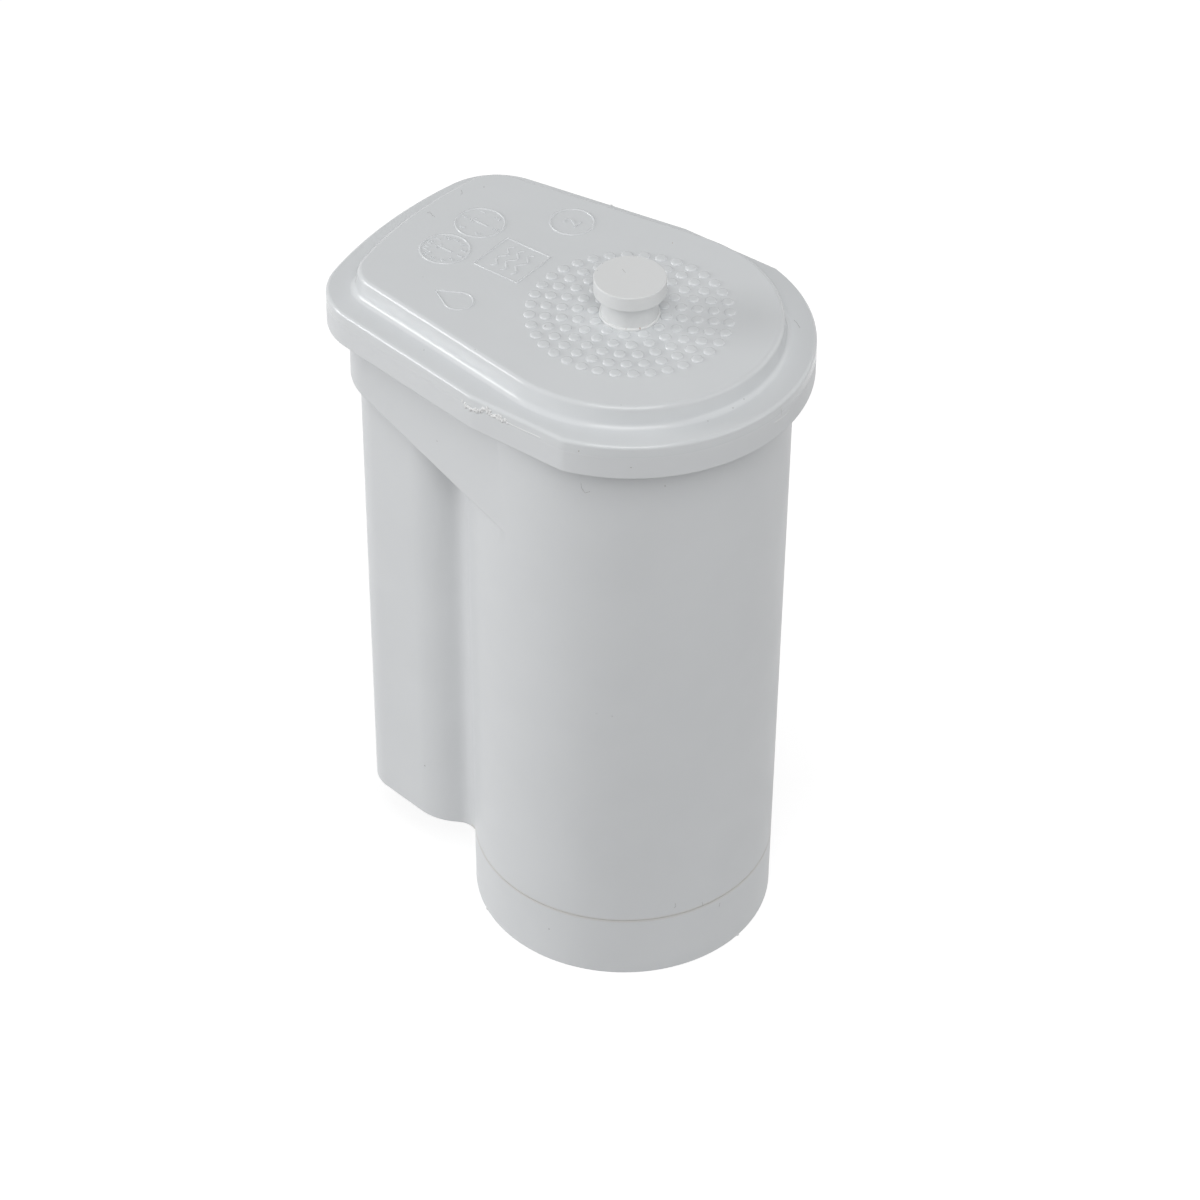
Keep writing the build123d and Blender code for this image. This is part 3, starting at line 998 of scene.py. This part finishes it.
def resin_beads():
    """Amber beads, each cell of the pattern a bead, painted darker towards its edge as shade between
    the beads.
    """
    material, nodes, links, shader = shader_nodes("resin_beads")
    where = nodes.new("ShaderNodeTexCoord").outputs["Object"]
    cells = nodes.new("ShaderNodeTexVoronoi")
    cells.inputs["Scale"].default_value = 1600.0
    links.new(where, cells.inputs["Vector"])
    # Lighter middle and darker edge of each cell: painted shade between the beads
    colour = nodes.new("ShaderNodeMix")
    colour.data_type = "RGBA"
    colour.inputs["A"].default_value = (0.42, 0.22, 0.06, 1.0)
    colour.inputs["B"].default_value = (0.12, 0.05, 0.01, 1.0)
    links.new(cells.outputs["Distance"], colour.inputs["Factor"])
    links.new(colour.outputs["Result"], shader.inputs["Base Color"])
    shader.inputs["Roughness"].default_value = 0.3
    bump = nodes.new("ShaderNodeBump")
    bump.invert = True
    bump.inputs["Distance"].default_value = 0.0003
    links.new(cells.outputs["Distance"], bump.inputs["Height"])
    links.new(bump.outputs["Normal"], shader.inputs["Normal"])
    return material


def seal_rubber():
    """Dark grey rubber with a matt bloom."""
    material, nodes, links, shader = shader_nodes("seal_rubber")
    where = nodes.new("ShaderNodeTexCoord").outputs["Object"]
    bloom = noise(nodes, links, where, 900.0, 4.0)
    colour = nodes.new("ShaderNodeMix")
    colour.data_type = "RGBA"
    colour.inputs["A"].default_value = (0.035, 0.036, 0.038, 1.0)
    colour.inputs["B"].default_value = (0.060, 0.062, 0.064, 1.0)
    links.new(ramp(nodes, links, bloom, 0.0, 1.0), colour.inputs["Factor"])
    links.new(colour.outputs["Result"], shader.inputs["Base Color"])
    links.new(ramp(nodes, links, bloom, 0.55, 0.75), shader.inputs["Roughness"])
    return material


def dress(node, material):
    """Gives a construction node its finished material."""
    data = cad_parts[node].data
    data.materials.clear()
    data.materials.append(material)


def make_camera():
    """Camera at the photograph's place, with its small roll."""
    forward = Vector((
        -sin(CAMERA_HEADING) * cos(CAMERA_PITCH),
        cos(CAMERA_HEADING) * cos(CAMERA_PITCH),
        -sin(CAMERA_PITCH),
    ))
    level_right = forward.cross(Vector((0, 0, 1))).normalized()
    level_up = level_right.cross(forward)
    right = level_right * cos(CAMERA_ROLL) + level_up * sin(CAMERA_ROLL)
    up = right.cross(forward)
    data = bpy.data.cameras.new("photo_camera")
    data.lens = CAMERA_LENS
    data.sensor_width = CAMERA_SENSOR
    data.sensor_fit = "HORIZONTAL"
    data.clip_end = 20.0
    camera = bpy.data.objects.new("photo_camera", data)
    turn = Matrix((right, up, -forward)).transposed().to_4x4()
    camera.matrix_world = Matrix.Translation(CAMERA_PLACE) @ turn
    bpy.context.scene.collection.objects.link(camera)
    bpy.context.scene.camera = camera


def area_lamp(name, place, aim, width, height, power, colour):
    """Soft rectangular lamp that looks at a point."""
    data = bpy.data.lights.new(name, "AREA")
    data.shape = "RECTANGLE"
    data.size = width
    data.size_y = height
    data.energy = power
    data.color = colour
    lamp = bpy.data.objects.new(name, data)
    direction = Vector(aim) - Vector(place)
    lamp.rotation_mode = "QUATERNION"
    lamp.rotation_quaternion = direction.to_track_quat("-Z", "Y")
    lamp.location = place
    bpy.context.scene.collection.objects.link(lamp)


def seen_plainly(nodes, links):
    """One where the camera, a reflection or a clear body looks at the background, else nothing."""
    rays = nodes.new("ShaderNodeLightPath")
    seen = rays.outputs["Is Camera Ray"]
    for kind in ("Is Glossy Ray", "Is Transmission Ray"):
        either = nodes.new("ShaderNodeMath")
        either.operation = "MAXIMUM"
        links.new(seen, either.inputs[0])
        links.new(rays.outputs[kind], either.inputs[1])
        seen = either.outputs[0]
    return seen


def make_world(level):
    """Even studio light, with plain white wherever the background itself is seen."""
    world = bpy.data.worlds.new("studio")
    world.use_nodes = True
    bpy.context.scene.world = world
    nodes = world.node_tree.nodes
    links = world.node_tree.links
    nodes.clear()
    light = nodes.new("ShaderNodeBackground")
    light.inputs["Strength"].default_value = level
    plain = nodes.new("ShaderNodeBackground")
    for background in (light, plain):
        background.inputs["Color"].default_value = (1.0, 1.0, 1.0, 1.0)
    choose = nodes.new("ShaderNodeMixShader")
    output = nodes.new("ShaderNodeOutputWorld")
    links.new(seen_plainly(nodes, links), choose.inputs[0])
    links.new(light.outputs[0], choose.inputs[1])
    links.new(plain.outputs[0], choose.inputs[2])
    links.new(choose.outputs[0], output.inputs["Surface"])


def make_floor():
    """Plain pale floor that is seen as white and keeps a faint shadow of the object."""
    data = bpy.data.meshes.new("studio_floor")
    half = FLOOR_HALF
    corners = [(-half, -half, 0), (half, -half, 0), (half, half, 0), (-half, half, 0)]
    data.from_pydata(corners, [], [(0, 1, 2, 3)])
    floor = bpy.data.objects.new("studio_floor", data)
    bpy.context.scene.collection.objects.link(floor)
    material, nodes, links, shader = shader_nodes("studio_floor")
    nodes.remove(shader)
    lit = nodes.new("ShaderNodeBsdfDiffuse")
    lit.inputs["Color"].default_value = (*[FLOOR_TONE] * 3, 1.0)
    shade = nodes.new("ShaderNodeBsdfDiffuse")
    shade.inputs["Color"].default_value = (*[FLOOR_SHADE] * 3, 1.0)
    glow = nodes.new("ShaderNodeEmission")
    glow.inputs["Strength"].default_value = FLOOR_GLOW
    shown = nodes.new("ShaderNodeAddShader")
    choose = nodes.new("ShaderNodeMixShader")
    links.new(shade.outputs[0], shown.inputs[0])
    links.new(glow.outputs[0], shown.inputs[1])
    links.new(seen_plainly(nodes, links), choose.inputs[0])
    links.new(lit.outputs[0], choose.inputs[1])
    links.new(shown.outputs[0], choose.inputs[2])
    links.new(choose.outputs[0], nodes["Material Output"].inputs["Surface"])
    data.materials.append(material)


def make_lights():
    """Soft boxes round the object."""
    for name, place, side, power in LAMPS:
        area_lamp(name, place, (0.0, 0.0, 0.08), side, side, power, (1.0, 1.0, 1.0))


bpy.context.scene.view_settings.view_transform = "Standard"
housing_plastic = moulded_plastic(
    "housing_plastic", (0.720, 0.736, 0.750), (0.705, 0.721, 0.735), 0.42, 0.00002, 0.0002, seam_shade_and_tone=True
)
lid_plastic = moulded_plastic(
    "lid_plastic", (0.720, 0.740, 0.754), (0.707, 0.727, 0.741), 0.16, 0.00001, 0.0001
)
knob_plastic = moulded_plastic(
    "knob_plastic", (0.775, 0.785, 0.787), (0.760, 0.770, 0.772), 0.40, 0.00002, 0.0001
)
flash_plastic = moulded_plastic(
    "flash_plastic", (0.820, 0.825, 0.825), (0.760, 0.765, 0.765), 0.50, 0.00002, 0.0001
)
make_camera()
shells = [
    build_housing(housing_plastic),
    build_lid(lid_plastic),
    build_knob(knob_plastic),
    build_cap(housing_plastic),
]
build_marks(lid_plastic)
surfaces = surface_tree(shells)
build_flash(surfaces, flash_plastic)
build_dust(surfaces)
felt_material = felt()
dress("lower_fleece", felt_material)
dress("upper_fleece", felt_material)
dress("resin_bed", resin_beads())
dress("retaining_grid", housing_plastic)
dress("outlet_seal", seal_rubber())
make_world(WORLD_LEVEL)
make_floor()
make_lights()
